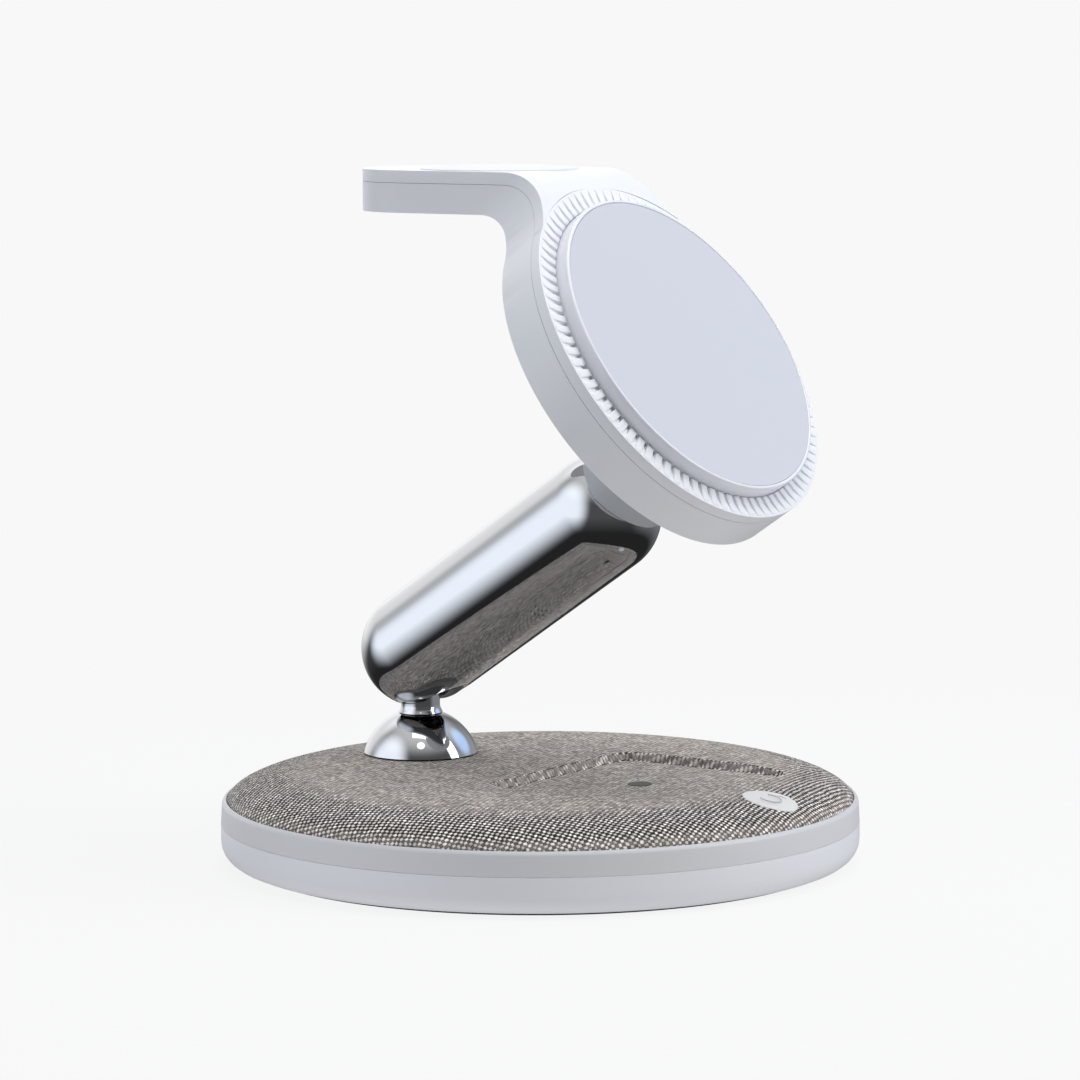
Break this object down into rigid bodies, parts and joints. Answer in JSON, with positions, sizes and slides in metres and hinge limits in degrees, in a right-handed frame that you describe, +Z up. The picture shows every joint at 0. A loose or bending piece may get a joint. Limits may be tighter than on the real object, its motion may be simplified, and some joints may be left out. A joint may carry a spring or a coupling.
{
  "type": "foldable wireless charging stand",
  "caption": "Folding charging stand: weighted cloth-topped round base, swivelling chrome capsule arm, and a tilting round phone pad with a shelf for a watch.",
  "frame": {"origin": "centre of the base's underside, on the surface it stands on", "axes": "+Z up, the phone pad faces -Y, the watch shelf points to +Y, X is across the stand"},
  "size_m": [0.11, 0.11, 0.1196],
  "materials": {
    "white_plastic": "satin moulded plastic",
    "base_plastic": "satin moulded plastic",
    "pad_silicone": "soft-touch silicone",
    "boss_plastic": "satin moulded plastic",
    "fabric": "woven melange cloth",
    "key_plastic": "satin key cap",
    "mark": "printed mark",
    "chrome": "polished chrome plate",
    "steel": "machined steel",
    "anti_slip": "moulded rubber",
    "copper_wire": "wound copper wire",
    "ferrite": "ferrite sheet",
    "magnet": "nickel-plated magnet",
    "circuit_board": "solder mask",
    "inner_plastic": "moulded plastic"
  },
  "bodies": {
    "base": {"base_lower_shell": "base_plastic", "base_trim_ring": "base_plastic", "base_deck": "inner_plastic", "fabric_cover": "fabric", "touch_key": "key_plastic", "earbud_pad_mark": "mark", "counterweight": "steel", "anti_slip_ring": "anti_slip", "earbud_coil": "copper_wire", "earbud_ferrite": "ferrite", "touch_sensor": "circuit_board", "main_board": "circuit_board", "board_standoffs": "inner_plastic", "usb_port": "steel", "base_screws": "steel"},
    "swivel": {"swivel_dome": "chrome", "swivel_washer": "steel", "swivel_spring_washer": "steel", "swivel_nut": "steel", "neck_stem": "chrome"},
    "arm": {"arm_shell": "chrome", "arm_end_cap": "chrome", "lower_fork": "steel", "upper_fork": "steel", "lower_hinge_pin": "steel", "upper_hinge_pin": "steel", "lower_friction_washers": "steel", "upper_friction_washers": "steel"},
    "head": {"head_tongue": "steel", "hinge_boss": "boss_plastic", "tongue_screws": "steel", "head_rear_shell": "white_plastic", "head_front_cover": "white_plastic", "head_chassis": "inner_plastic", "chassis_screws": "steel", "grip_ring": "white_plastic", "pad_bezel": "white_plastic", "pad_face": "pad_silicone", "magnet_ring": "magnet", "phone_ferrite": "ferrite", "phone_coil": "copper_wire", "head_board": "circuit_board", "watch_puck": "pad_silicone", "watch_coil": "copper_wire", "watch_magnet": "magnet"}
  },
  "joints": [
    {"name": "base_swivel", "type": "hinge", "parent": "base", "child": "swivel", "pos_m": [0, 0.0256, 0.0136], "axis": [0, 0, 1], "range_deg": [-90, 90]},
    {"name": "arm_hinge", "type": "hinge", "parent": "swivel", "child": "arm", "pos_m": [0, 0.0256, 0.0347], "axis": [-1, 0, 0], "range_deg": [-33.8, 6.2]},
    {"name": "head_hinge", "type": "hinge", "parent": "arm", "child": "head", "pos_m": [0, -0.01283, 0.06043], "axis": [1, 0, 0], "range_deg": [-55, 18]}
  ]
}
